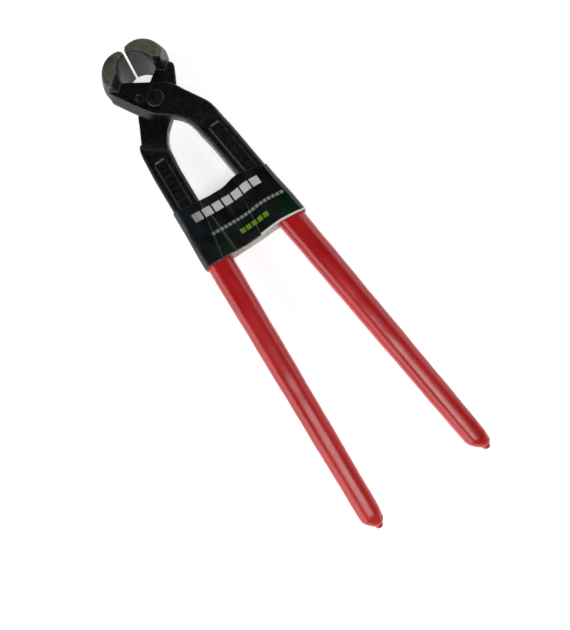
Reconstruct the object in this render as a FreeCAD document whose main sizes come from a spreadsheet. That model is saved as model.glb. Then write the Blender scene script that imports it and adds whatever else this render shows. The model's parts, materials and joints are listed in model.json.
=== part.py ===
"""Tower pincers, 250 mm: two crossed forged levers, a rivet, two dipped grips and a card band.

Every piece is drawn about the pivot: the rivet's axis is local Z, the cutting edges are towards +Y
and the handles run towards -Y, with the lap plane at z = 0.  The body placements then stand the
tool on the ground: the origin is the bottom centre of its box.  The two levers are the same
forging; the rear one is turned half a turn about Y.
"""
import FreeCAD, Part
import math
import os
import Sketcher

V = FreeCAD.Vector
doc = FreeCAD.newDocument("tower_pincers")

# --------------------------------------------------------------------------- driving dimensions
DIMENSIONS = [
    # head
    ("jaw_half_width", 11.0),      # half the length of the cutting edges, along the rivet's axis
    ("edge_gap", 1.0),             # opening between the two cutting edges as the tool lies
    ("edge_reach", 23.4),          # pivot to cutting edge
    ("bevel_run", 4.0),            # outer bevel of the cutting edge, across the tool
    ("bevel_rise", 5.2),           # outer bevel of the cutting edge, along the tool
    ("lobe_x", 4.85),              # centre of the round back of a jaw
    ("lobe_y", 15.0),
    ("lobe_radius", 10.3),         # back of a jaw at its ground side flats
    ("lobe_crown", 2.5),           # how far the back bulges between its two side flats
    ("cavity_y", 13.5),            # centre of the round space between the jaws
    ("cavity_radius", 8.9),
    ("heel_x", 12.4),              # inner end of the slanted heel under a jaw
    ("heel_y", 12.4),
    ("heel_rise", 4.5),            # slope of that heel: rise over run
    ("heel_run", 5.0),
    ("cut_margin", 5.0),           # how far an outline that cuts runs past the solid it cuts
    # lap joint
    ("lap_thickness", 6.0),        # each lever's thickness at the rivet
    ("lap_gap", 0.1),              # oil gap between the two lap faces
    ("swing_radius", 17.2),        # shoulders are turned to this radius about the rivet
    ("ramp_run", 1.7),             # slope from the lap's outer face up to the side flat
    ("shoulder_run", 7.5),         # slope from the shank's inner face down to the lap plane
    # rivet
    ("rivet_radius", 3.5),
    ("rivet_clearance", 0.05),     # running fit of the rivet, radial and under its heads
    ("head_radius", 4.3),
    ("head_height", 1.4),
    ("head_chamfer", 0.45),
    ("dimple_radius", 1.9),
    ("dimple_depth", 0.5),
    ("dimple_x", 5.9),
    ("dimple_y", 4.3),
    # neck and shank
    ("neck_root_x", 9.5),          # start of the neck's straight edge, inside the jaw
    ("neck_root_y", 15.5),
    ("neck_heel_x", 16.4),         # start of its curved edge, at the jaw's heel
    ("neck_heel_y", 14.2),
    ("neck_front_x", 7.7),         # end of the straight edge below the cavity
    ("neck_front_y", 4.9),
    ("neck_side_x", 13.3),
    ("neck_side_y", 3.0),
    ("neck_turn", 20.0),           # radius between those two places
    ("hip_x", 18.6),               # where the outer edge starts to turn towards the handle
    ("hip_y", 12.5),
    ("hip_turn", 22.0),
    ("hip_end_x", 21.1),
    ("hip_end_y", 19.8),
    ("neck_back_x", 4.6),          # inner edge of the neck, behind the rivet
    ("neck_back_y", 5.9),
    ("neck_back_turn", 150.0),
    ("crotch_x", 2.9),             # crotch between the shanks
    ("crotch_y", 11.9),
    ("crotch_turn", 18.7),
    ("crotch_end_x", 8.0),
    ("crotch_end_y", 23.8),
    ("straight_y", 30.0),          # below this the shank is straight
    ("shank_width", 13.3),
    ("shank_thickness", 10.0),
    ("step_y", 15.0),              # slope from the lap's outer face down to the shank
    ("step_run", 8.0),
    ("panel_top", 24.6),           # sunk panel in the shank's two faces
    ("panel_end", 56.0),
    ("panel_width", 6.2),
    ("panel_depth", 0.5),
    # handles and grips
    ("handle_near_x", 19.35),      # handle's centre line passes here
    ("handle_near_y", 75.0),
    ("handle_tip_x", 31.1),        # and ends here
    ("handle_reach", 222.2),
    ("grip_start", 72.0),
    ("tang_root", 1.0),            # the tang is rooted this far up the shank
    ("grip_width", 13.8),
    ("grip_depth", 12.5),
    ("grip_end_width", 11.5),
    ("grip_end_depth", 10.6),
    ("grip_roundness", 0.44),      # corner radius of a grip's section, as a share of its depth
    ("grip_wall", 2.2),            # least cover of the dipped grip over the tang
    ("grip_nose", 10.0),           # length of the grip's rounded end
    ("drip_radius", 1.5),          # drop left at the end by the dipping
    ("drip_length", 1.4),
    # card band
    ("band_top", 49.8),
    ("band_end", 80.1),
    ("band_tilt", 4.2),            # degrees; the band sits askew
    ("band_card", 0.4),
    ("band_clearance", 0.3),       # between the card and the sides of the handles
    ("band_slack", 0.6),           # between the card and their faces
    ("band_corner", 1.2),
]

sheet = doc.addObject("Spreadsheet::Sheet", "Sizes")
for row, (alias, value) in enumerate(DIMENSIONS, start=1):
    sheet.set(f"A{row}", alias)
    sheet.set(f"B{row}", str(value))
    sheet.setAlias(f"B{row}", alias)
doc.recompute()


def bound(text):
    """An expression with each dimension's name led back to its cell in the sheet."""
    for alias in sorted((name for name, _ in DIMENSIONS), key=len, reverse=True):
        text = text.replace(f"<{alias}>", f"Sizes.{alias}")
    return text


def number(text):
    """The value of such an expression, in millimetres."""
    value = sheet.evalExpression(bound(text))
    return float(getattr(value, "Value", value))


# ------------------------------------------------------------------------------ shared places
HEAD_TOP = "(<lobe_y> + <lobe_radius> + <lobe_crown>)"
HALF_EDGE_GAP = "(<edge_gap> / 2)"
SLOPE = "((<handle_tip_x> - <handle_near_x>) / (<handle_reach> - <handle_near_y>))"


def handle_x(y):
    """Handle's centre line, across the tool, at a distance y behind the pivot."""
    return f"(<handle_near_x> + ({y} - <handle_near_y>) * {SLOPE})"


def tapered(start, end, y):
    """A grip size that runs evenly from the grip's start to the root of its rounded end."""
    nose = "(<handle_reach> - <grip_nose>)"
    return f"({start} + ({end} - {start}) * ({y} - <grip_start>) / ({nose} - <grip_start>))"


# ------------------------------------------------------------------------------ sketch helpers
def new_body(label):
    """A body whose label is the name of the piece."""
    body = doc.addObject("PartDesign::Body", label)
    body.Label = label
    return body


def new_sketch(body, name, role, across="0", along="0", turn="0"):
    """A sketch on one of the body's own planes, moved along it and off it, and turned in degrees."""
    plane = next(item for item in body.Origin.OriginFeatures if item.Role == role)
    sketch = body.newObject("Sketcher::SketchObject", name)
    sketch.AttachmentSupport = (plane, "")
    sketch.MapMode = "FlatFace"
    sketch.AttachmentOffset = FreeCAD.Placement(
        V(number(across), 0, number(along)), FreeCAD.Rotation(V(0, 1, 0), number(turn))
    )
    sketch.setExpression("AttachmentOffset.Base.x", bound(across))
    sketch.setExpression("AttachmentOffset.Base.z", bound(along))
    if turn != "0":
        sketch.setExpression("AttachmentOffset.Rotation.Angle", bound(turn))
    return sketch


def constrain(sketch, kind, args, text):
    """A constraint whose value follows an expression."""
    index = sketch.addConstraint(Sketcher.Constraint(kind, *args, number(text)))
    sketch.setExpression(f"Constraints[{index}]", bound(text))


def arc_between(start, end, radius):
    """Minor arc from start to end; its centre is to the left of the way for a positive radius."""
    chord = end - start
    half = chord.Length / 2
    side = V(-chord.y, chord.x, 0).normalize()
    height = math.sqrt(radius * radius - half * half)
    centre = (start + end) / 2 + side * math.copysign(height, radius)
    angles = [math.atan2(point.y - centre.y, point.x - centre.x) for point in (start, end)]
    if radius < 0:
        angles.reverse()
    return Part.ArcOfCircle(Part.Circle(centre, V(0, 0, 1), abs(radius)), *angles)


def outline(sketch, corners):
    """Closed outline.  A corner is (x, y), or (x, y, radius) where an arc leads to the next."""
    count = len(corners)
    places = [V(number(corner[0]), number(corner[1]), 0) for corner in corners]
    ends = []
    for index, corner in enumerate(corners):
        start, end = places[index], places[(index + 1) % count]
        if len(corner) == 3:
            radius = number(corner[2])
            geometry = sketch.addGeometry(arc_between(start, end, radius), False)
            sides = (1, 2) if radius > 0 else (2, 1)
            turn = corner[2] if radius > 0 else f"-({corner[2]})"
            constrain(sketch, "Radius", (geometry,), turn)
        else:
            geometry = sketch.addGeometry(Part.LineSegment(start, end), False)
            sides = (1, 2)
        ends.append((geometry, *sides))
    for index, corner in enumerate(corners):
        geometry, first, _ = ends[index]
        before, _, last = ends[index - 1]
        sketch.addConstraint(Sketcher.Constraint("Coincident", before, last, geometry, first))
        constrain(sketch, "DistanceX", (-1, 1, geometry, first), corner[0])
        constrain(sketch, "DistanceY", (-1, 1, geometry, first), corner[1])


def circle(sketch, x, y, radius):
    """Circle in a sketch."""
    shape = Part.Circle(V(number(x), number(y), 0), V(0, 0, 1), number(radius))
    geometry = sketch.addGeometry(shape, False)
    constrain(sketch, "DistanceX", (-1, 1, geometry, 3), x)
    constrain(sketch, "DistanceY", (-1, 1, geometry, 3), y)
    constrain(sketch, "Radius", (geometry,), radius)


def rounded_box(sketch, half_width, half_height, corner):
    """Rectangle with round corners about the sketch's origin."""
    w, t, c = half_width, half_height, corner
    outline(sketch, [
        (f"-({w}) + {c}", f"-({t})"),
        (f"{w} - {c}", f"-({t})", c),
        (w, f"-({t}) + {c}"),
        (w, f"{t} - {c}", c),
        (f"{w} - {c}", t),
        (f"-({w}) + {c}", t, c),
        (f"-({w})", f"{t} - {c}"),
        (f"-({w})", f"-({t}) + {c}", c),
    ])


def pad(body, sketch, name, length, midplane=False):
    """Pad of a sketch; its length follows an expression."""
    feature = body.newObject("PartDesign::Pad", name)
    feature.Profile = sketch
    feature.Midplane = midplane
    feature.Length = number(length)
    feature.setExpression("Length", bound(length))
    sketch.Visibility = False
    return feature


def pocket(body, sketch, name, length, midplane=False, reversed_way=False):
    """Pocket of a sketch; its depth follows an expression."""
    feature = body.newObject("PartDesign::Pocket", name)
    feature.Profile = sketch
    feature.Midplane = midplane
    feature.Reversed = reversed_way
    feature.Length = number(length)
    feature.setExpression("Length", bound(length))
    sketch.Visibility = False
    return feature


def turned(body, sketch, name, kind, angle=360.0, reversed_way=False):
    """Revolution or groove about the sketch's upright axis, through an angle in degrees."""
    feature = body.newObject(kind, name)
    feature.Profile = sketch
    feature.ReferenceAxis = (sketch, ["V_Axis"])
    feature.Angle = angle
    feature.Reversed = reversed_way
    sketch.Visibility = False
    return feature


def place(body, turned_over):
    """Stand a piece in the tool's frame; the rear set is turned over about the long axis."""
    half_turn = FreeCAD.Rotation(V(0, 1, 0), 180 if turned_over else 0)
    body.Placement = FreeCAD.Placement(V(0, 0, 0), half_turn)
    body.setExpression("Placement.Base.y", bound(f"(<handle_reach> - {HEAD_TOP}) / 2"))
    body.setExpression("Placement.Base.z", bound("<jaw_half_width>"))


# -------------------------------------------------------------------------------------- levers
def jaw(body):
    """Jaw: a crowned round back, hollowed, bevelled to a cutting edge and cut off at its heel."""
    profile = new_sketch(body, "back_profile", "XZ_Plane", "-<lobe_x>", "-<lobe_y>")
    crown_radius = "((<jaw_half_width>^2 + <lobe_crown>^2) / (2 * <lobe_crown>))"
    outline(profile, [
        ("0", "-<jaw_half_width>"),
        ("<lobe_radius>", "-<jaw_half_width>", crown_radius),
        ("<lobe_radius>", "<jaw_half_width>"),
        ("0", "<jaw_half_width>"),
    ])
    turned(body, profile, "back", "PartDesign::Revolution")

    room = "(<lobe_x> + <lobe_radius> + <lobe_crown> + <cut_margin>)"
    edge_x = f"-{HALF_EDGE_GAP}"
    heel_end_x = f"-({room})"
    heel_end_y = f"(<heel_y> + ({room} - <heel_x>) * <heel_rise> / <heel_run>)"
    hollow_top = f"(<cavity_y> + sqrt(<cavity_radius>^2 - {HALF_EDGE_GAP}^2))"
    trim = new_sketch(body, "trim_outline", "XY_Plane")
    outline(trim, [
        (f"{edge_x} - <bevel_run>", "<edge_reach> + <bevel_rise>"),
        (edge_x, "<edge_reach>"),
        (edge_x, hollow_top, "<cavity_radius>"),
        ("-<cavity_radius>", "<cavity_y>"),
        ("-<heel_x>", "<heel_y>"),
        (heel_end_x, heel_end_y),
        (heel_end_x, f"-({room})"),
        (room, f"-({room})"),
        (room, "<edge_reach> + <bevel_rise>"),
    ])
    pocket(body, trim, "trim", "4 * <jaw_half_width>", midplane=True)


def shank(body):
    """Shank and tang, in the tool's middle plane."""
    half = "(<shank_width> / 2)"
    plan = new_sketch(body, "shank_outline", "XY_Plane")
    outline(plan, [
        ("<crotch_x>", "-<crotch_y>", "-<crotch_turn>"),
        ("<crotch_end_x>", "-<crotch_end_y>"),
        (f"{handle_x('<straight_y>')} - {half}", "-<straight_y>"),
        (f"{handle_x('<grip_start>')} - {half}", "-<grip_start>"),
        (f"{handle_x('<grip_start>')} + {half}", "-<grip_start>"),
        (f"{handle_x('<straight_y>')} + {half}", "-<straight_y>"),
        ("<hip_end_x>", "-<hip_end_y>", "<hip_turn>"),
        ("<hip_x>", "-<hip_y>"),
    ])
    pad(body, plan, "shank", "<shank_thickness>", midplane=True)
    tang_sketch = new_sketch(body, "tang_outline", "XY_Plane")
    outline(tang_sketch, tang_corners())
    pad(body, tang_sketch, "tang", TANG_THICKNESS, midplane=True)


TANG_THICKNESS = "(<grip_end_depth> - 2 * <grip_wall>)"
TANG_END = "(<handle_reach> - <grip_nose>)"


def tang_corners():
    """Plan of the tapered tang, from its root in the shank to its end inside the grip."""
    corners = []
    for y, sides in (("(<grip_start> - <tang_root>)", (1, -1)), (TANG_END, (-1, 1))):
        half = f"({tapered('<grip_width>', '<grip_end_width>', y)} / 2 - <grip_wall>)"
        for side in sides:
            corners.append((f"{handle_x(y)} + {side} * {half}", f"-({y})"))
    return corners


def lap(body):
    """Lap joint: the half below the lap plane is turned away, the half above it is the neck."""
    swing = new_sketch(body, "swing_circle", "XY_Plane", along="<lap_gap> / 2")
    circle(swing, "0", "0", "<swing_radius>")
    pocket(body, swing, "swing_clearance", "2 * <jaw_half_width>")

    shoulder = new_sketch(body, "shoulder_profile", "XZ_Plane")
    inner_face = "-<shank_thickness> / 2"
    outline(shoulder, [
        ("<swing_radius>", "<lap_gap> / 2"),
        ("<swing_radius>", f"{inner_face} - <cut_margin>"),
        ("<swing_radius> + <shoulder_run>", f"{inner_face} - <cut_margin>"),
        ("<swing_radius> + <shoulder_run>", inner_face),
    ])
    turned(body, shoulder, "shoulder", "PartDesign::Groove", angle=180.0, reversed_way=True)

    neck = new_sketch(body, "neck_outline", "XY_Plane", along="<lap_gap> / 2")
    outline(neck, [
        ("-<neck_root_x>", "<neck_root_y>"),
        ("-<neck_heel_x>", "<neck_heel_y>", "<neck_back_turn>"),
        ("-<neck_back_x>", "-<neck_back_y>"),
        ("<crotch_x>", "-<crotch_y>", "-<crotch_turn>"),
        ("<crotch_end_x>", "-<crotch_end_y>"),
        ("<hip_end_x>", "-<crotch_end_y>"),
        ("<hip_end_x>", "-<hip_end_y>", "<hip_turn>"),
        ("<hip_x>", "-<hip_y>"),
        ("<neck_side_x>", "-<neck_side_y>", "<neck_turn>"),
        ("<neck_front_x>", "<neck_front_y>"),
    ])
    pad(body, neck, "neck", "<lap_thickness> - <lap_gap> / 2")

    face = new_sketch(body, "face_profile", "XZ_Plane")
    outline(face, [
        ("0", "<lap_thickness>"),
        ("<swing_radius>", "<lap_thickness>"),
        ("<swing_radius> + <ramp_run>", "<jaw_half_width>"),
        ("<swing_radius> + <ramp_run>", "<jaw_half_width> + <cut_margin>"),
        ("0", "<jaw_half_width> + <cut_margin>"),
    ])
    turned(body, face, "face", "PartDesign::Groove")

    step = new_sketch(body, "step_profile", "YZ_Plane")
    low = "(<shank_thickness> / 2)"
    outline(step, [
        ("-<step_y>", "<lap_thickness>"),
        ("-<step_y> - <step_run>", low),
        ("-<handle_near_y>", low),
        ("-<handle_near_y>", "<lap_thickness> + <cut_margin>"),
        ("-<step_y>", "<lap_thickness> + <cut_margin>"),
    ])
    pocket(body, step, "step", "4 * <hip_end_x>", midplane=True)


def holes(body):
    """Rivet hole, the punched dimple beside it and the sunk panel on each face of the shank."""
    bore = new_sketch(body, "rivet_circle", "XY_Plane")
    circle(bore, "0", "0", "<rivet_radius> + <rivet_clearance>")
    pocket(body, bore, "rivet_hole", "4 * <jaw_half_width>", midplane=True)

    dimple = new_sketch(body, "dimple_circle", "XY_Plane", along="<lap_thickness>")
    circle(dimple, "-<dimple_x>", "<dimple_y>", "<dimple_radius>")
    pocket(body, dimple, "dimple", "<dimple_depth>")

    half = "(<panel_width> / 2)"
    corners = [
        (f"{handle_x('<panel_top>')} + {side} * {half}", "-<panel_top>") for side in (-1, 1)
    ] + [
        (f"{handle_x('<panel_end>')} + {side} * {half}", "-<panel_end>") for side in (1, -1)
    ]
    for name, height, other_way in (("upper_panel", "", False), ("lower_panel", "-", True)):
        panel = new_sketch(body, name + "_outline", "XY_Plane", along=f"{height}<shank_thickness> / 2")
        outline(panel, corners)
        pocket(body, panel, name, "<panel_depth>", reversed_way=other_way)


def lever(label, turned_over):
    """One forged lever: jaw, lap, shank and tang."""
    body = new_body(label)
    jaw(body)
    shank(body)
    lap(body)
    holes(body)
    place(body, turned_over)
    return body


# --------------------------------------------------------------------------------------- rivet
def rivet():
    """Rivet through both laps, with a chamfered head at each end."""
    body = new_body("pivot_rivet")
    seat = "(<lap_thickness> + <rivet_clearance>)"
    top = f"({seat} + <head_height>)"
    profile = new_sketch(body, "rivet_profile", "XZ_Plane")
    corners = [
        ("0", f"-{top}"),
        ("<head_radius> - <head_chamfer>", f"-{top}"),
        ("<head_radius>", f"-{top} + <head_chamfer>"),
        ("<head_radius>", f"-{seat}"),
        ("<rivet_radius>", f"-{seat}"),
    ]
    mirrored = [(x, y[1:] if y.startswith("-") else y) for x, y in reversed(corners)]
    mirrored[2] = (mirrored[2][0], f"{top} - <head_chamfer>")
    outline(profile, corners + mirrored)
    turned(body, profile, "rivet", "PartDesign::Revolution")
    place(body, False)
    return body


# --------------------------------------------------------------------------------------- grips
# sections of a grip's rounded end: share of the way along it, and size next to the grip's own
NOSE = ((0.0, 1.0), (0.4, 0.93), (0.7, 0.76), (0.9, 0.5))


def grip_section(body, name, y, width, depth):
    """Cross-section of a grip, at a distance y behind the pivot."""
    section = new_sketch(body, name, "XZ_Plane", handle_x(y), y)
    rounded_box(section, f"({width}) / 2", f"({depth}) / 2", f"({depth}) * <grip_roundness>")
    section.Visibility = False
    return section


def loft(body, name, sections, kind="PartDesign::AdditiveLoft"):
    """Straight-sided loft through sections."""
    feature = body.newObject(kind, name)
    feature.Profile = sections[0]
    feature.Sections = sections[1:]
    feature.Ruled = True
    return feature


def grip(label, turned_over):
    """Dipped grip: a tapered sleeve over the tang with a round end and a drop at its tip."""
    body = new_body(label)
    stations = [("<grip_start>", "<grip_width>", "<grip_depth>")]
    for share, size in NOSE:
        y = f"({TANG_END} + {share} * (<grip_nose> - <drip_length>))"
        stations.append((y, f"<grip_end_width> * {size}", f"<grip_end_depth> * {size}"))
    drip = "(2 * <drip_radius>)"
    for y in ("(<handle_reach> - <drip_length>)", "<handle_reach>"):
        stations.append((y, drip, drip))
    sections = [grip_section(body, f"section_{index}", *station) for index, station in enumerate(stations)]
    loft(body, "sleeve", sections)
    bore = new_sketch(body, "bore_outline", "XY_Plane")
    outline(bore, tang_corners())
    pocket(body, bore, "bore", TANG_THICKNESS, midplane=True)
    place(body, turned_over)
    return body


# ---------------------------------------------------------------------------------------- band
def band():
    """Card band round both handles: a closed sleeve that follows their splay and thickness."""
    body = new_body("label_band")
    edges = (
        ("top", "<band_top>", "<shank_width>", "<shank_thickness>"),
        ("end", "<band_end>", "max(<grip_width>; <shank_width>)", "max(<grip_depth>; <shank_thickness>)"),
    )
    for side, extra, kind in (
        ("outer", "<band_card>", "PartDesign::AdditiveLoft"),
        ("inner", "0", "PartDesign::SubtractiveLoft"),
    ):
        sections = []
        for edge, y, width, depth in edges:
            askew_y = f"({y} + {handle_x(y)} * sin(<band_tilt>))"
            side_x = f"({handle_x(askew_y)} + {width} / 2 + <band_clearance>)"
            reach = f"({side_x} / cos(<band_tilt>) + {extra})"
            height = f"({depth} / 2 + <band_slack> + {extra})"
            section = new_sketch(body, f"{side}_{edge}", "XZ_Plane", along=y, turn="<band_tilt>")
            rounded_box(section, reach, height, f"(<band_corner> + {extra})")
            section.Visibility = False
            sections.append(section)
        loft(body, side, sections, kind)
    place(body, False)
    return body


# --------------------------------------------------------------------------------------- build
pieces = [
    lever("front_lever", False),
    lever("rear_lever", True),
    rivet(),
    grip("front_grip", False),
    grip("rear_grip", True),
    band(),
]
doc.recompute()

for item in doc.Objects:
    bad = [state for state in item.State if state in ("Invalid", "Error")]
    if bad:
        raise RuntimeError(f"{item.Label}: {bad}")
for piece in pieces:
    if piece.Shape.isNull() or not piece.Shape.isValid() or len(piece.Shape.Solids) != 1:
        raise RuntimeError(f"{piece.Label}: not one valid solid")

os.makedirs("parts", exist_ok=True)
for piece in pieces:
    piece.Shape.exportStep(f"parts/{piece.Label}.step")
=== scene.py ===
"""Tower pincers lying on a pale studio floor: the looks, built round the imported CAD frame.

Lengths here are in millimetres about the pivot (x across the tool, y towards the jaws, z up) unless
a name says otherwise; placed() turns them into the frame's metres.
"""
import json
import math

import bmesh
import bpy
import numpy as np
from mathutils import Matrix, Vector


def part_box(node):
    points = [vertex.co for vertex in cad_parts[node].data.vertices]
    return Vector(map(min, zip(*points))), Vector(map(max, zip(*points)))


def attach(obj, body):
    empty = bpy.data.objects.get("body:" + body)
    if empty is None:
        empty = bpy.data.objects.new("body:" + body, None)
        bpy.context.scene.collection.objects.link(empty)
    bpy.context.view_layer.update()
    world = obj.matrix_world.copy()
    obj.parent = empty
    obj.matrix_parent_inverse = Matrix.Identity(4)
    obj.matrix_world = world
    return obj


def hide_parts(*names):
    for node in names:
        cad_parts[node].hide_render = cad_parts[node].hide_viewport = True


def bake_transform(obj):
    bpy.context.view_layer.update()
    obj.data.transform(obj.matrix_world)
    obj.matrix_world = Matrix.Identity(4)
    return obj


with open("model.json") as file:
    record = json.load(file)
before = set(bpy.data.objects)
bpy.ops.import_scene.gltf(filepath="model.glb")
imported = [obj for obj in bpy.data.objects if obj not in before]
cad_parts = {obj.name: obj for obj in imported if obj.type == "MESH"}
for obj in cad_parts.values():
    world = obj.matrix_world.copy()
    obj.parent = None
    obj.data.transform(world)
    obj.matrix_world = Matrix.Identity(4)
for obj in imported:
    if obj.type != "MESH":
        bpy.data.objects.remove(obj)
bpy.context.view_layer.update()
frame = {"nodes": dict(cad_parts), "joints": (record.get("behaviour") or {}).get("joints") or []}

MM = 0.001
PIVOT = np.array(frame["joints"][0]["pos_m"])

# ------------------------------------------------------------------------------------ places
GRIP_WIDTH = 13.8
GRIP_DEPTH = 12.5
GRIP_END_WIDTH = 11.5
GRIP_END_DEPTH = 10.6
GRIP_NOSE = 10.0
SHANK_WIDTH = 13.3
SHANK_DEPTH = 10.0


def about_pivot(corner):
    """A place in the frame's metres as millimetres about the pivot."""
    return (np.array(corner) - PIVOT) / MM


GRIP_LOW, GRIP_HIGH = (about_pivot(corner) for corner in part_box("front_grip"))
BAND_HIGH = about_pivot(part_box("label_band")[1])
RIVET_HIGH = about_pivot(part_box("pivot_rivet")[1])
GRIP_START = GRIP_HIGH[1]
GRIP_TIP = GRIP_LOW[1]
NEAR_X = GRIP_LOW[0] + GRIP_WIDTH / 2
FAR_X = GRIP_HIGH[0] - GRIP_END_WIDTH / 2
SPLAY = (FAR_X - NEAR_X) / (GRIP_START - GRIP_TIP - GRIP_NOSE)


def handle_x(y):
    """How far a handle's centre line is from the tool's middle plane."""
    return NEAR_X + (GRIP_START - y) * SPLAY


def placed(points):
    """Millimetres about the pivot as the frame's metres."""
    return np.asarray(points, float) * MM + PIVOT


def smoothstep(low, high, value):
    """0 below low, 1 above high and an even turn between."""
    share = np.clip((np.asarray(value, float) - low) / (high - low), 0.0, 1.0)
    return share * share * (3.0 - 2.0 * share)


def bell(value, middle, width):
    """1 at the middle, falling to nothing over about twice the width."""
    return np.exp(-(((np.asarray(value, float) - middle) / width) ** 2))


# ------------------------------------------------------------------------------ mesh helpers
def new_piece(name, points, faces):
    """An object from points in millimetres about the pivot and faces."""
    mesh = bpy.data.meshes.new(name)
    mesh.from_pydata([tuple(point) for point in placed(points)], [], faces)
    mesh.validate()
    mesh.update()
    piece = bpy.data.objects.new(name, mesh)
    bpy.context.scene.collection.objects.link(piece)
    mesh.shade_smooth()
    return piece


def ring_faces(rows, columns):
    """Quads between neighbouring rings of points."""
    faces = []
    for row in range(rows - 1):
        after = row + 1
        for column in range(columns):
            right = (column + 1) % columns
            faces.append((
                row * columns + column,
                row * columns + right,
                after * columns + right,
                after * columns + column,
            ))
    return faces


def settle(piece):
    """Apply a piece's modifiers."""
    graph = bpy.context.evaluated_depsgraph_get()
    mesh = bpy.data.meshes.new_from_object(piece.evaluated_get(graph))
    piece.modifiers.clear()
    piece.data = mesh


def outwards(piece):
    """Make a closed piece's faces look outwards."""
    shell = bmesh.new()
    shell.from_mesh(piece.data)
    bmesh.ops.recalc_face_normals(shell, faces=shell.faces)
    shell.to_mesh(piece.data)
    shell.free()


def coordinates(mesh):
    """A mesh's points as millimetres about the pivot."""
    flat = np.empty(len(mesh.vertices) * 3, np.float32)
    mesh.vertices.foreach_get("co", flat)
    return (flat.reshape(-1, 3).astype(float) - PIVOT) / MM


def set_coordinates(mesh, points):
    """Write a mesh's points, given as millimetres about the pivot."""
    mesh.vertices.foreach_set("co", placed(points).astype(np.float32).ravel())
    mesh.update()


def set_attribute(mesh, name, values):
    """One number for each point, for the material to read."""
    attribute = mesh.attributes.new(name, "FLOAT", "POINT")
    attribute.data.foreach_set("value", np.asarray(values, np.float32))


def relaxed(points, edges, weights, passes):
    """Points drawn towards their neighbours, pass by pass, as far as each one's weight says."""
    count = len(points)
    ends = np.concatenate([edges[:, 0], edges[:, 1]])
    others = np.concatenate([edges[:, 1], edges[:, 0]])
    neighbours = np.bincount(ends, minlength=count)
    points = points.copy()
    pull = 0.5 * weights
    for _ in range(passes):
        for axis in range(3):
            mean = np.bincount(ends, points[others, axis], minlength=count) / neighbours
            points[:, axis] += pull * (mean - points[:, axis])
    return points


# --------------------------------------------------------------------------------- materials
class Nodes:
    """A material's node tree, with short calls for the nodes used here."""

    def __init__(self, name):
        self.material = bpy.data.materials.new(name)
        self.material.use_nodes = True
        self.tree = self.material.node_tree
        self.shader = self.tree.nodes["Principled BSDF"]

    def link(self, source, target):
        """Lead an output to an input, or set the input to a plain value."""
        if isinstance(source, bpy.types.NodeSocket):
            self.tree.links.new(source, target)
        else:
            target.default_value = source

    def set(self, **values):
        """Values or links for the shader's inputs; an underscore stands for a space."""
        for name, value in values.items():
            self.link(value, self.shader.inputs[name.replace("_", " ")])

    def place(self):
        """The piece's own coordinates, in metres."""
        return self.tree.nodes.new("ShaderNodeTexCoord").outputs["Object"]

    def split(self, vector):
        """The three parts of a vector."""
        node = self.tree.nodes.new("ShaderNodeSeparateXYZ")
        self.link(vector, node.inputs[0])
        return node.outputs

    def stretched(self, scale, turn=(0.0, 0.0, 0.0)):
        """The piece's coordinates, turned and then scaled for each axis."""
        node = self.tree.nodes.new("ShaderNodeMapping")
        node.inputs["Scale"].default_value = scale
        node.inputs["Rotation"].default_value = turn
        self.link(self.place(), node.inputs["Vector"])
        return node.outputs[0]

    def attribute(self, name):
        """A number that the mesh carries for each point."""
        node = self.tree.nodes.new("ShaderNodeAttribute")
        node.attribute_name = name
        return node.outputs["Fac"]

    def noise(self, scale, detail=3.0, roughness=0.5, vector=None):
        """Smooth noise from 0 to 1; scale counts its grains in a metre."""
        node = self.tree.nodes.new("ShaderNodeTexNoise")
        node.inputs["Scale"].default_value = scale
        node.inputs["Detail"].default_value = detail
        node.inputs["Roughness"].default_value = roughness
        self.link(vector or self.place(), node.inputs["Vector"])
        return node.outputs["Fac"]

    def math(self, operation, first, second=0.0):
        """An operation on one or two numbers or links."""
        node = self.tree.nodes.new("ShaderNodeMath")
        node.operation = operation
        self.link(first, node.inputs[0])
        self.link(second, node.inputs[1])
        return node.outputs[0]

    def span(self, value, low, high, to_low=0.0, to_high=1.0):
        """A number led smoothly from one range to another, and kept in it."""
        node = self.tree.nodes.new("ShaderNodeMapRange")
        node.interpolation_type = "SMOOTHSTEP"
        self.link(value, node.inputs["Value"])
        names = ("From Min", "From Max", "To Min", "To Max")
        for name, number in zip(names, (low, high, to_low, to_high)):
            node.inputs[name].default_value = number
        return node.outputs["Result"]

    def mix(self, share, first, second):
        """A colour between two colours or links."""
        node = self.tree.nodes.new("ShaderNodeMix")
        node.data_type = "RGBA"
        self.link(share, node.inputs["Factor"])
        for name, colour in (("A", first), ("B", second)):
            socket = [item for item in node.inputs if item.name == name and item.type == "RGBA"][0]
            linked = isinstance(colour, bpy.types.NodeSocket)
            self.link(colour if linked else (*colour, 1.0), socket)
        return [item for item in node.outputs if item.type == "RGBA"][0]

    def between(self, share, first, second):
        """A number between two numbers or links."""
        difference = self.math("SUBTRACT", second, first)
        return self.math("ADD", first, self.math("MULTIPLY", share, difference))

    def inside(self, value, low, high, edge):
        """1 where a number lies between low and high, with soft edges."""
        rising = self.span(value, low - edge, low + edge)
        falling = self.span(value, high - edge, high + edge, 1.0, 0.0)
        return self.math("MULTIPLY", rising, falling)

    def bump(self, height, distance, strength=1.0, normal=None):
        """A normal disturbed by a height; distance is the depth in metres."""
        node = self.tree.nodes.new("ShaderNodeBump")
        node.inputs["Strength"].default_value = strength
        node.inputs["Distance"].default_value = distance
        self.link(height, node.inputs["Height"])
        if normal is not None:
            self.link(normal, node.inputs["Normal"])
        return node.outputs["Normal"]


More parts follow.
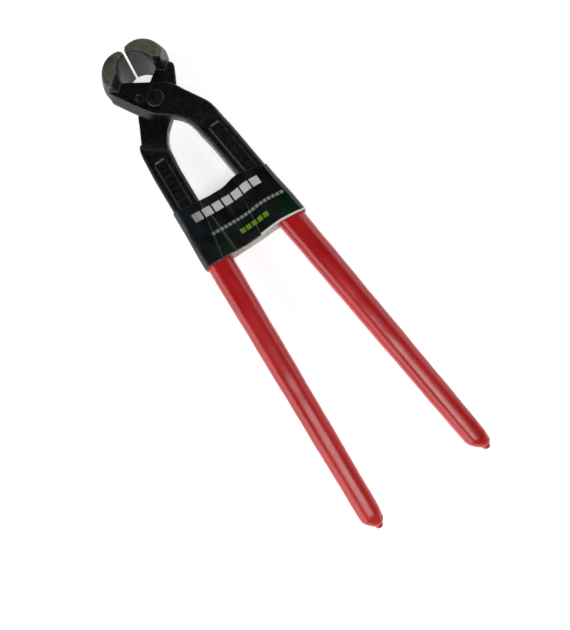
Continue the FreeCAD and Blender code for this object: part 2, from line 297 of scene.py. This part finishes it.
OXIDE_DARK = (0.0016, 0.0017, 0.0019)
OXIDE_PALE = (0.0042, 0.0044, 0.0049)
RUBBED_GREY = (0.055, 0.057, 0.060)
GROUND_DULL = (0.330, 0.302, 0.246)
GROUND_CLEAR = (0.430, 0.396, 0.330)
GROUND_STAIN = (0.225, 0.188, 0.160)


def forged_steel():
    """Black oxide on a forging: mottled, rubbed grey on its edges and ground on the jaws."""
    nodes = Nodes("forged_black_steel")
    mottle = nodes.noise(140.0, 4.0, 0.6)
    pores = nodes.noise(2600.0, 2.0, 0.6)
    scale = nodes.noise(520.0, 3.0, 0.55)
    black = nodes.mix(nodes.span(mottle, 0.35, 0.65), OXIDE_DARK, OXIDE_PALE)
    rubbed = nodes.math("MULTIPLY", nodes.attribute("wear"), nodes.span(scale, 0.3, 0.7, 0.25, 1.0))
    black = nodes.mix(nodes.math("MULTIPLY", rubbed, 0.09), black, RUBBED_GREY)
    ground = nodes.attribute("ground")
    strokes = nodes.noise(1.0, 3.0, 0.6, nodes.stretched((2600.0, 240.0, 900.0), (0.0, 0.0, 0.6)))
    bright = nodes.mix(nodes.span(strokes, 0.3, 0.7), GROUND_DULL, GROUND_CLEAR)
    bright = nodes.mix(nodes.span(nodes.noise(95.0, 3.0), 0.42, 0.68), bright, GROUND_STAIN)

    nodes.set(
        Base_Color=nodes.mix(ground, black, bright),
        Metallic=nodes.between(ground, nodes.math("MULTIPLY", rubbed, 0.4), 1.0),
        Roughness=nodes.between(
            ground,
            nodes.span(scale, 0.3, 0.7, 0.27, 0.42),
            nodes.span(strokes, 0.3, 0.7, 0.42, 0.56),
        ),
    )
    forged = nodes.bump(scale, 0.00009, 0.55)
    forged = nodes.bump(pores, 0.00002, 0.5, forged)
    nodes.set(Normal=nodes.bump(nodes.math("MULTIPLY", strokes, ground), 0.000012, 0.6, forged))
    return nodes.material


RIVET_PALE = (0.0040, 0.0042, 0.0046)
RIVET_RUBBED = (0.060, 0.062, 0.065)


def rivet_steel():
    """The rivet: the same black, smoother, with faint turning marks round its axis."""
    nodes = Nodes("rivet_black_steel")
    place = nodes.split(nodes.place())
    across = nodes.math("SUBTRACT", place[0], float(PIVOT[0]))
    along = nodes.math("SUBTRACT", place[1], float(PIVOT[1]))
    radius = nodes.math("SQRT", nodes.math(
        "ADD", nodes.math("MULTIPLY", across, across), nodes.math("MULTIPLY", along, along)
    ))
    marks = nodes.math("SINE", nodes.math("MULTIPLY", radius, 2.0 * math.pi / (0.42 * MM)))
    mottle = nodes.noise(420.0, 3.0, 0.6)
    rubbed = nodes.math("MULTIPLY", nodes.attribute("wear"), nodes.span(mottle, 0.3, 0.7, 0.3, 1.0))
    black = nodes.mix(nodes.span(mottle, 0.35, 0.65), OXIDE_DARK, RIVET_PALE)
    nodes.set(
        Base_Color=nodes.mix(nodes.math("MULTIPLY", rubbed, 0.25), black, RIVET_RUBBED),
        Metallic=nodes.math("MULTIPLY", rubbed, 0.4),
        Roughness=nodes.span(mottle, 0.3, 0.7, 0.30, 0.44),
        Normal=nodes.bump(marks, 0.000010, 0.35, nodes.bump(mottle, 0.00004, 0.4)),
    )
    return nodes.material


RED_DEEP = (0.430, 0.0062, 0.0080)
RED_PALE = (0.510, 0.0098, 0.0115)


def dipped_red():
    """Glossy dip-coated PVC: slow waves in the gloss and faint cloudiness."""
    nodes = Nodes("dipped_red_pvc")
    cloud = nodes.noise(1.0, 3.0, 0.5, nodes.stretched((90.0, 26.0, 90.0)))
    fine = nodes.noise(900.0, 2.0, 0.5)
    wave = nodes.noise(1.0, 2.0, 0.5, nodes.stretched((150.0, 48.0, 150.0)))
    red = nodes.mix(nodes.span(cloud, 0.35, 0.65), RED_DEEP, RED_PALE)
    nodes.set(
        Base_Color=red,
        Roughness=nodes.span(cloud, 0.3, 0.7, 0.25, 0.36),
        Coat_Weight=0.25,
        Coat_Roughness=0.16,
        Normal=nodes.bump(fine, 0.000010, 0.30, nodes.bump(wave, 0.00022, 0.35)),
    )
    return nodes.material


INK_DARK = (0.0022, 0.0030, 0.0033)
INK_PALE = (0.0046, 0.0062, 0.0068)
# painted sheen: the bluish-grey reflection of the left window, painted into the ink as a colour
PAINTED_SHEEN_BLUE = (0.0075, 0.0110, 0.0150)
INK_GREEN = (0.0008, 0.0150, 0.0042)
MARGIN_WHITE = (0.660, 0.680, 0.640)
CARD_DULL = (0.720, 0.735, 0.690)
CARD_CLEAR = (0.790, 0.800, 0.765)
# places on the band's front sheet: millimetres from its middle, and up from its lower edge
STRIPES = (
    # left, right, middle height, half height, blocks, gap between blocks, colour
    (-18.4, 18.0, 22.7, 2.1, 7, 0.9, (0.560, 0.580, 0.560)),
    (-15.3, 23.4, 12.2, 0.75, 18, 0.5, (0.240, 0.250, 0.240)),
    (-4.0, 12.0, 6.6, 1.15, 5, 0.7, (0.125, 0.270, 0.022)),
)


def printed_card():
    """Varnished black card, unprinted inside, with plain stripes, a white margin and a painted bluish
    sheen over the left handle.
    """
    nodes = Nodes("printed_card")
    across = nodes.attribute("across")
    up = nodes.attribute("up")
    front = nodes.attribute("front")
    cloud = nodes.noise(120.0, 3.0, 0.5)
    fibre = nodes.noise(2400.0, 2.0, 0.6)
    edge = 0.16
    ink = nodes.mix(nodes.span(cloud, 0.35, 0.65), INK_DARK, INK_PALE)
    # painted sheen: a bluish reflection painted over the left handle, stronger towards the band's
    # upper edge
    painted_sheen = nodes.math("MULTIPLY", nodes.inside(across, -27.0, -17.0, 2.5), nodes.span(up, 2.0, 22.0))
    ink = nodes.mix(nodes.math("MULTIPLY", painted_sheen, 0.8), ink, PAINTED_SHEEN_BLUE)
    green_left = nodes.math(
        "MULTIPLY", nodes.inside(across, -15.5, -8.0, 2.0), nodes.inside(up, 2.0, 10.0, 3.0)
    )
    green_right = nodes.math(
        "MULTIPLY", nodes.inside(across, 17.0, 28.0, 3.0), nodes.inside(up, 1.0, 10.0, 3.0)
    )
    green = nodes.math("ADD", green_left, nodes.math("MULTIPLY", green_right, 1.6))
    ink = nodes.mix(nodes.math("MULTIPLY", green, 0.55), ink, INK_GREEN)
    paint = ink
    for left, right, middle, half, blocks, gap, colour in STRIPES:
        stripe = nodes.math(
            "MULTIPLY",
            nodes.inside(across, left, right, edge),
            nodes.inside(up, middle - half, middle + half, edge),
        )
        pitch = (right - left) / blocks
        in_block = nodes.math("PINGPONG", nodes.math("SUBTRACT", across, left), pitch / 2)
        stripe = nodes.math("MULTIPLY", stripe, nodes.span(in_block, gap / 2 - 0.1, gap / 2 + 0.1))
        faded = nodes.span(across, -19.0, -8.0, 0.45, 1.0)
        stripe = nodes.math("MULTIPLY", nodes.math("MULTIPLY", stripe, front), faded)
        paint = nodes.mix(stripe, paint, colour)
    margin = nodes.math(
        "MULTIPLY", nodes.inside(up, -5.0, 1.0, edge), nodes.inside(across, 3.2, 40.0, edge)
    )
    paint = nodes.mix(nodes.math("MULTIPLY", margin, front), paint, MARGIN_WHITE)
    bare = nodes.mix(nodes.span(fibre, 0.3, 0.7), CARD_DULL, CARD_CLEAR)
    unprinted = nodes.span(nodes.attribute("inside"), 0.4, 0.6)
    nodes.set(
        Base_Color=nodes.mix(unprinted, paint, bare),
        Roughness=nodes.between(unprinted, nodes.span(cloud, 0.3, 0.7, 0.24, 0.36), 0.75),
        Normal=nodes.bump(fibre, 0.000012, 0.35, nodes.bump(cloud, 0.00025, 0.25)),
    )
    return nodes.material


FLOOR_GLOW = 0.62


def pale_floor():
    """Matt pale studio floor that gives off a little light of its own, so that it stays white."""
    nodes = Nodes("pale_floor")
    grain = nodes.noise(60.0, 2.0, 0.5)
    nodes.set(
        Base_Color=nodes.mix(nodes.span(grain, 0.3, 0.7), (0.86, 0.86, 0.86), (0.88, 0.88, 0.88)),
        Roughness=0.9,
        Specular_IOR_Level=0.1,
        Emission_Color=(1.0, 1.0, 1.0, 1.0),
        Emission_Strength=FLOOR_GLOW,
    )
    return nodes.material


# ------------------------------------------------------------------------------------ levers
VOXEL = 0.42
ROUNDING_PASSES = 60
SHANK_ROUNDING = 1.0
LAP_ROUNDING = 0.20
JAW_ROUNDING = 0.03
PANEL_ROUNDING = 0.10
PANEL_TOP = -24.6
PANEL_HALF = 3.1
SWING_RADIUS = 17.2
DIMPLE = (5.9, 4.3)
DRAFT = 1.9
RIB_HEIGHT = 0.15
RIB_PITCH = 3.1
RIB_COUNT = 8
RIB_START = PANEL_TOP - 4.6
LINE_HEIGHT = 0.30


def draft(local):
    """How far the neck's back wall leans out from its outer edge down to the lap plane."""
    x, y, z = local.T
    upper_end, lower_end = np.array([-12.6, 9.3]), np.array([-4.6, -5.9])
    along = (lower_end - upper_end) / np.linalg.norm(lower_end - upper_end)
    out = np.array([along[1], -along[0]])
    offset = (local[:, :2] - upper_end) @ out
    on_wall = smoothstep(-1.6, -0.2, offset) * smoothstep(-7.5, -3.0, y) * smoothstep(16.5, 12.0, y)
    low = smoothstep(6.0, 0.5, z) * smoothstep(-0.6, -0.2, z)
    return (DRAFT * on_wall * low)[:, None] * out


def rounding(local):
    """How far each place of a lever is rounded: hardly at the cutting edge, most on the shank."""
    x, y, z = local.T
    shank = smoothstep(-14.0, -24.0, y)
    jaw = smoothstep(9.0, 13.0, y)
    share = LAP_ROUNDING + (SHANK_ROUNDING - LAP_ROUNDING) * shank
    share = share + (JAW_ROUNDING - share) * jaw
    share = share * (1.0 - smoothstep(19.5, 21.5, y))
    share = share * (1.0 - 0.85 * smoothstep(3.6, 2.6, np.hypot(x + DIMPLE[0], y - DIMPLE[1])))
    from_line = np.abs(x - handle_x(y))
    panel = smoothstep(5.0, 4.2, from_line) * smoothstep(PANEL_TOP + 3.0, PANEL_TOP, y)
    return share + (PANEL_ROUNDING - share) * panel * smoothstep(3.6, 4.2, np.abs(z))


def panel_ribs(local):
    """Height of the plain raised ribs on the floor of a sunk panel."""
    x, y, z = local.T
    nearest = np.clip(np.round((RIB_START - y) / RIB_PITCH), 0, RIB_COUNT - 1)
    rib = bell(y, RIB_START - nearest * RIB_PITCH, 0.55)
    inside = smoothstep(PANEL_HALF - 0.5, PANEL_HALF - 1.2, np.abs(x - handle_x(y)))
    return RIB_HEIGHT * rib * inside * smoothstep(3.6, 4.2, np.abs(z))


def shoulder_steps(local):
    """Height of two faint lines on the shoulder that clears the other lever's lap."""
    x, y, z = local.T
    radius = np.hypot(x, y)
    angle = np.degrees(np.arctan2(y, -x))
    on_wall = bell(radius, SWING_RADIUS, 0.7) * smoothstep(0.5, 1.5, -z)
    lower = bell(z, -7.0, 0.5) * bell(angle, 52.0, 6.0)
    upper = bell(z, -3.4, 0.5) * bell(angle, 56.0, 6.0)
    return LINE_HEIGHT * on_wall * (lower + upper)


def forged_lever(name, node, body, side, material):
    """A lever with a forging's rounded edges, made from the CAD lever's own mesh."""
    piece = bpy.data.objects.new(name, frame["nodes"][node].data.copy())
    bpy.context.scene.collection.objects.link(piece)
    welded = bmesh.new()
    welded.from_mesh(piece.data)
    bmesh.ops.remove_doubles(welded, verts=welded.verts, dist=0.001 * MM)
    welded.to_mesh(piece.data)
    welded.free()
    remesh = piece.modifiers.new("remesh", "REMESH")
    remesh.mode = "VOXEL"
    remesh.voxel_size = VOXEL * MM
    settle(piece)

    mesh = piece.data
    turn = np.array([side, 1.0, side])
    local = coordinates(mesh) * turn
    edges = np.empty(len(mesh.edges) * 2, np.int32)
    mesh.edges.foreach_get("vertices", edges)
    weights = rounding(local)
    smooth = relaxed(local, edges.reshape(-1, 2), weights, ROUNDING_PASSES)
    moved = np.linalg.norm(smooth - local, axis=1)
    wear = smoothstep(0.25, 0.9, moved / (0.25 + 0.65 * np.sqrt(weights)))
    smooth[:, 2] += np.sign(smooth[:, 2]) * panel_ribs(smooth)
    smooth[:, :2] += draft(smooth)
    step = shoulder_steps(smooth)
    radius = np.maximum(np.hypot(smooth[:, 0], smooth[:, 1]), 1.0)
    smooth[:, :2] *= (1.0 - step / radius)[:, None]
    set_coordinates(mesh, smooth * turn)
    in_panel = smoothstep(5.2, 4.2, np.abs(local[:, 0] - handle_x(local[:, 1])))
    set_attribute(mesh, "wear", wear * (1.0 - 0.7 * in_panel))
    normals = np.empty(len(mesh.vertices) * 3, np.float32)
    mesh.vertices.foreach_get("normal", normals)
    level = smoothstep(0.93, 0.985, np.abs(normals.reshape(-1, 3)[:, 2]))
    set_attribute(mesh, "ground", level * smoothstep(10.3, 10.7, np.abs(smooth[:, 2])))
    mesh.shade_smooth()
    mesh.materials.clear()
    mesh.materials.append(material)
    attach(piece, body)
    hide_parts(node)


# ------------------------------------------------------------------------------------- rivet
def rivet(material):
    """Rivet with a rounded, faintly domed head at each end."""
    top = RIVET_HIGH[2]
    seat = top - 1.4
    head = RIVET_HIGH[0]
    shaft = head - 0.8
    edge = 0.75
    crown = 0.12
    profile = [(head * share, top - crown * share**2) for share in (0.0, 0.2, 0.4, 0.6)]
    middle = (head - edge, top - crown - edge)
    for step in range(9):
        angle = math.radians(90.0 - 11.25 * step)
        profile.append((middle[0] + edge * math.cos(angle), middle[1] + edge * math.sin(angle)))
    profile += [(head, seat + 0.1), (head - 0.1, seat), (shaft, seat), (shaft, seat - 0.3)]
    profile += [(radius, -height) for radius, height in reversed(profile)]
    around = 72
    angles = np.arange(around) * 2.0 * math.pi / around
    points = []
    for radius, height in profile[1:-1]:
        points += [(radius * math.cos(a), radius * math.sin(a), height) for a in angles]
    rows = len(profile) - 2
    faces = ring_faces(rows, around)
    points += [(0.0, 0.0, profile[0][1]), (0.0, 0.0, profile[-1][1])]
    last = (rows - 1) * around
    for column in range(around):
        right = (column + 1) % around
        faces.append((len(points) - 2, right, column))
        faces.append((len(points) - 1, last + column, last + right))
    piece = new_piece("rivet_head", points, faces)
    outwards(piece)
    local = coordinates(piece.data)
    radius = np.hypot(local[:, 0], local[:, 1])
    set_attribute(piece.data, "wear", bell(radius, head - 0.35, 0.5))
    piece.data.materials.append(material)
    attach(piece, "rear_half")
    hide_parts("pivot_rivet")


# ------------------------------------------------------------------------------------- grips
SQUARENESS = 2.45
TEAT_LENGTH = 2.2
TEAT_RADIUS = 2.2
SKIN_ROOM = 0.24


def grip(name, node, body, side, teat_shift, ring_at, material):
    """Dip-coated grip: a tapered oval sleeve with a round end, a hanging drop and faint waves."""
    length = GRIP_START - GRIP_TIP
    nose_start = length - GRIP_NOSE
    body_end = length - TEAT_LENGTH
    along = np.concatenate([
        np.array([0.0, 0.15, 0.5, 1.0]),
        np.linspace(1.8, nose_start, 130),
        nose_start + (body_end - nose_start) * np.sin(np.linspace(0.04, 1.0, 26) * math.pi / 2),
    ])
    around = 72
    angles = np.arange(around) * 2.0 * math.pi / around
    power = 2.0 / SQUARENESS
    ring_x = np.sign(np.cos(angles)) * np.abs(np.cos(angles)) ** power
    ring_z = np.sign(np.sin(angles)) * np.abs(np.sin(angles)) ** power
    wave_phase = 1.3 if side > 0 else 4.1
    points = []
    for distance in along:
        share = min(distance / nose_start, 1.0)
        half_x = (GRIP_WIDTH + (GRIP_END_WIDTH - GRIP_WIDTH) * share) / 2
        half_z = (GRIP_DEPTH + (GRIP_END_DEPTH - GRIP_DEPTH) * share) / 2
        lip = 1.0 - 0.10 * math.exp(-distance / 0.35)
        wave = 0.05 * math.sin(distance / 6.1 + wave_phase)
        wave += 0.04 * math.sin(distance / 2.7 + 2 * wave_phase)
        ring = 0.14 * math.exp(-(((distance - ring_at) / 0.55) ** 2)) if ring_at else 0.0
        k = max(0.0, (distance - nose_start) / (body_end - nose_start))
        nose = max(1.0 - k**2.3, 0.0) ** 0.52
        wide = (half_x - SKIN_ROOM + wave + ring) * lip * nose
        deep = (half_z - SKIN_ROOM + wave + ring) * lip * nose
        y = GRIP_START - distance
        shift = teat_shift * smoothstep(0.3, 1.0, k)
        centre = side * handle_x(y) + shift
        teat = TEAT_RADIUS * smoothstep(0.35, 1.0, k)
        wide = math.hypot(wide, teat)
        deep = math.hypot(deep, teat)
        roundness = smoothstep(0.2, 0.9, k)
        for angle, x, z in zip(angles, ring_x, ring_z):
            x = x + (math.cos(angle) - x) * roundness
            z = z + (math.sin(angle) - z) * roundness
            points.append((centre + wide * x, y, deep * z))
    tip_rows = 7
    for step in range(1, tip_rows + 1):
        turn = step / (tip_rows + 0.35) * math.pi / 2
        distance = body_end + TEAT_LENGTH * math.sin(turn)
        y = GRIP_START - distance
        centre = side * handle_x(y) + teat_shift
        for angle in angles:
            points.append((
                centre + TEAT_RADIUS * math.cos(turn) * math.cos(angle),
                y,
                TEAT_RADIUS * math.cos(turn) * math.sin(angle),
            ))
    rows = len(along) + tip_rows
    faces = ring_faces(rows, around)
    faces.append(tuple(range(around)))
    faces.append(tuple(reversed(range((rows - 1) * around, rows * around))))
    piece = new_piece(name, points, faces)
    outwards(piece)
    piece.data.materials.append(material)
    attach(piece, body)
    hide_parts(node)


# -------------------------------------------------------------------------------------- band
CARD = 0.35
CARD_CORNER = 3.0
CARD_CLEARANCE = 0.30
CREASES = (
    # x at the upper edge, x at the lower edge, depth, width
    (-10.4, -17.2, 0.30, 0.30),
    (-9.9, -9.8, 0.22, 0.28),
    (12.6, 12.4, 0.10, 0.40),
)
SEAM_TOP = 8.5
SEAM_END = 3.0


def curve_through(places, value):
    """A smooth line through a few (x, y) places, by cubic steps between them."""
    xs = np.array([place[0] for place in places])
    ys = np.array([place[1] for place in places])
    slopes = np.gradient(ys, xs)
    value = np.clip(value, xs[0], xs[-1])
    left = np.clip(np.searchsorted(xs, value) - 1, 0, len(xs) - 2)
    width = xs[left + 1] - xs[left]
    t = (value - xs[left]) / width
    return (
        ys[left] * (1 + 2 * t) * (1 - t) ** 2
        + slopes[left] * width * t * (1 - t) ** 2
        + ys[left + 1] * t * t * (3 - 2 * t)
        + slopes[left + 1] * width * t * t * (t - 1)
    )


UPPER_EDGE = ((-27.0, -48.4), (-12.0, -50.6), (0.0, -51.3), (11.0, -50.3), (27.0, -53.6))
LOWER_EDGE = ((-27.0, -78.4), (-12.0, -79.6), (3.0, -80.3), (14.0, -80.2), (27.0, -81.9))


def upper_edge(x):
    """The band's upper edge, as it sags askew across the handles."""
    return curve_through(UPPER_EDGE, x)


def lower_edge(x):
    """The band's lower edge."""
    return curve_through(LOWER_EDGE, x)


def card_half(y):
    """Half of the band's width and depth where it crosses the handles at y."""
    share = smoothstep(-58.0, -74.0, y)
    wide = handle_x(y) + (SHANK_WIDTH + (GRIP_WIDTH - SHANK_WIDTH) * share) / 2 + CARD_CLEARANCE
    deep = (SHANK_DEPTH + (GRIP_DEPTH - SHANK_DEPTH) * share) / 2 + CARD_CLEARANCE
    return wide, deep


def sheet_sag(x, share, is_front):
    """How far a sheet drops between the handles, with its waves and creases."""
    span = smoothstep(-13.0, -5.0, x) * smoothstep(13.5, 4.0, x)
    wave = 0.55 * np.sin(x * 0.42 + 2.2 * share) + 0.35 * np.sin(x * 0.23 - 3.0 * share + 1.0)
    drop = span * (1.35 + (0.55 if is_front else 0.25) * wave)
    drop = drop + 0.10 * np.sin(x * 0.9 + share * 4.0) * smoothstep(27.0, 20.0, np.abs(x))
    if is_front:
        for top, end, depth, width in CREASES:
            drop = drop + depth * bell(x, top + (end - top) * share, width)
        seam = SEAM_TOP + (SEAM_END - SEAM_TOP) * share
        drop = drop + 0.34 * smoothstep(seam - 0.15, seam + 0.15, x) - 0.17
    return drop


def card_band(material):
    """Card sleeve round both handles, creased, sagging between them and lapped over itself."""
    reach = BAND_HIGH[0]
    sheet = np.linspace(-1.0, 1.0, 181)
    corner = np.linspace(0.0, 1.0, 10)[1:-1]
    side = np.linspace(-1.0, 1.0, 7)
    loop = [
        (part, value)
        for part, values in (
            ("front", sheet), ("corner_fr", corner), ("side_r", side[::-1]), ("corner_rb", corner),
            ("back", sheet[::-1]), ("corner_bl", corner), ("side_l", side), ("corner_lf", corner),
        )
        for value in values
    ]
    rows = 44
    points, across, up, front = [], [], [], []
    for row in range(rows):
        share = row / (rows - 1)
        for part, value in loop:
            sign = {"side_r": 1.0, "corner_fr": 1.0, "corner_rb": 1.0}.get(part, -1.0)
            guess = value * (reach - CARD_CORNER) if part in ("front", "back") else sign * reach
            high, low = float(upper_edge(guess)), float(lower_edge(guess))
            y = high + (low - high) * share
            wide, deep = card_half(y)
            flat_x, flat_z = wide - CARD_CORNER, deep - CARD_CORNER
            if part in ("front", "back"):
                x = value * flat_x
                z = deep - float(sheet_sag(x, share, part == "front"))
                z = z if part == "front" else -z
            elif part.startswith("side"):
                x, z = sign * wide, value * flat_z
            else:
                turn = value * math.pi / 2
                if part == "corner_fr":
                    angle = math.pi / 2 - turn
                elif part == "corner_rb":
                    angle = -turn
                elif part == "corner_bl":
                    angle = -math.pi / 2 - turn
                else:
                    angle = math.pi - turn
                x = sign * flat_x + CARD_CORNER * math.cos(angle)
                z = math.copysign(flat_z, math.sin(angle)) + CARD_CORNER * math.sin(angle)
            points.append((x, y, z))
            across.append(x)
            up.append(y - low)
            front.append(smoothstep(1.0, 3.0, z))
    columns = len(loop)
    piece = new_piece("card_band", points, ring_faces(rows, columns))
    mesh = piece.data
    for name, values in (("across", across), ("up", up), ("front", front)):
        set_attribute(mesh, name, values)
    shell = bmesh.new()
    shell.from_mesh(mesh)
    shell.normal_update()
    middle = Vector(placed((0.0, -65.0, 0.0)))
    outward = [face for face in shell.faces if face.normal.dot(face.calc_center_median() - middle) > 0]
    if len(outward) < len(shell.faces) / 2:
        bmesh.ops.reverse_faces(shell, faces=shell.faces)
    shell.to_mesh(mesh)
    shell.free()
    set_attribute(mesh, "inside", np.zeros(len(mesh.vertices)))
    solid = piece.modifiers.new("card", "SOLIDIFY")
    solid.thickness = CARD * MM
    solid.offset = 1.0
    count = len(mesh.vertices)
    settle(piece)
    inside = np.zeros(len(piece.data.vertices))
    inside[count:] = 1.0
    piece.data.attributes["inside"].data.foreach_set("value", inside.astype(np.float32))
    piece.data.shade_smooth()
    piece.data.materials.clear()
    piece.data.materials.append(material)
    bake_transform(piece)
    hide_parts("label_band")


# ------------------------------------------------------------------------- floor, light, camera
def floor(material):
    """Large pale floor under the tool."""
    half = 3.0
    mesh = bpy.data.meshes.new("studio_floor")
    corners = [(-half, -half, 0.0), (half, -half, 0.0), (half, half, 0.0), (-half, half, 0.0)]
    mesh.from_pydata(corners, [], [(0, 1, 2, 3)])
    mesh.materials.append(material)
    ground = bpy.data.objects.new("studio_floor", mesh)
    bpy.context.scene.collection.objects.link(ground)


def area_light(name, place, aim, size, power):
    """A soft rectangular lamp; place, aim and size are in metres, power in watts."""
    lamp = bpy.data.lights.new(name, "AREA")
    lamp.shape = "RECTANGLE"
    lamp.size, lamp.size_y = size
    lamp.energy = power
    holder = bpy.data.objects.new(name, lamp)
    holder.location = place
    holder.rotation_euler = (Vector(aim) - Vector(place)).to_track_quat("-Z", "Y").to_euler()
    bpy.context.scene.collection.objects.link(holder)


WALL_TOP = 0.20
ROOF_START = 0.62
WALL_GLOW = 0.50
ROOF_GLOW = 0.014


def studio():
    """Plain soft studio light: pale walls round a dark roof, and three soft windows."""
    scene = bpy.context.scene
    scene.view_settings.view_transform = "Standard"
    scene.view_settings.look = "None"
    scene.world = bpy.data.worlds.new("studio")
    scene.world.use_nodes = True
    tree = scene.world.node_tree
    direction = tree.nodes.new("ShaderNodeTexCoord").outputs["Generated"]
    parts = tree.nodes.new("ShaderNodeSeparateXYZ")
    tree.links.new(direction, parts.inputs[0])
    walls = tree.nodes.new("ShaderNodeMapRange")
    walls.interpolation_type = "SMOOTHSTEP"
    walls.inputs["From Min"].default_value = WALL_TOP
    walls.inputs["From Max"].default_value = ROOF_START
    walls.inputs["To Min"].default_value = WALL_GLOW
    walls.inputs["To Max"].default_value = ROOF_GLOW
    tree.links.new(parts.outputs["Z"], walls.inputs["Value"])
    tree.links.new(walls.outputs["Result"], tree.nodes["Background"].inputs["Strength"])
    tree.nodes["Background"].inputs["Color"].default_value = (1.0, 1.0, 1.0, 1.0)
    area_light("left_window", (-0.75, -0.15, 0.40), (0.0, 0.0, 0.0), (1.2, 0.6), 5.4)
    area_light("tail_window", (-0.02, -0.29, 0.62), (0.0, -0.20, 0.0), (0.26, 0.30), 1.5)
    area_light("right_window", (0.80, 0.20, 0.45), (0.0, 0.0, 0.0), (1.2, 0.6), 2.9)


CAMERA_AIM = (-9.03, -116.3, 0.0)
CAMERA_PLACE = (-18.49, -121.11, 230.4)
CAMERA_TURN = 35.46
CAMERA_LENS = 28.108
CAMERA_SENSOR = 36.0


def camera():
    """Close camera, almost straight above the tool's middle and turned in its own plane."""
    aim = Vector(placed(CAMERA_AIM))
    eye = Vector(placed(CAMERA_PLACE))
    turn = math.radians(CAMERA_TURN)
    back = (eye - aim).normalized()
    right = Vector((math.sin(turn), math.cos(turn), 0.0)).cross(back).normalized()
    up = back.cross(right)
    lens = bpy.data.cameras.new("camera")
    lens.lens = CAMERA_LENS
    lens.sensor_width = CAMERA_SENSOR
    holder = bpy.data.objects.new("camera", lens)
    turned = Matrix((right, up, back)).transposed().to_4x4()
    holder.matrix_world = Matrix.Translation(eye) @ turned
    bpy.context.scene.collection.objects.link(holder)
    bpy.context.scene.camera = holder


# ------------------------------------------------------------------------------------- scene
camera()
studio()
floor(pale_floor())
steel = forged_steel()
forged_lever("front_lever_forged", "front_lever", "front_half", 1.0, steel)
forged_lever("rear_lever_forged", "rear_lever", "rear_half", -1.0, steel)
rivet(rivet_steel())
red = dipped_red()
grip("front_grip_dipped", "front_grip", "front_half", 1.0, 1.2, 0.0, red)
grip("rear_grip_dipped", "rear_grip", "rear_half", -1.0, 1.2, GRIP_START - GRIP_TIP - 40.0, red)
card_band(printed_card())
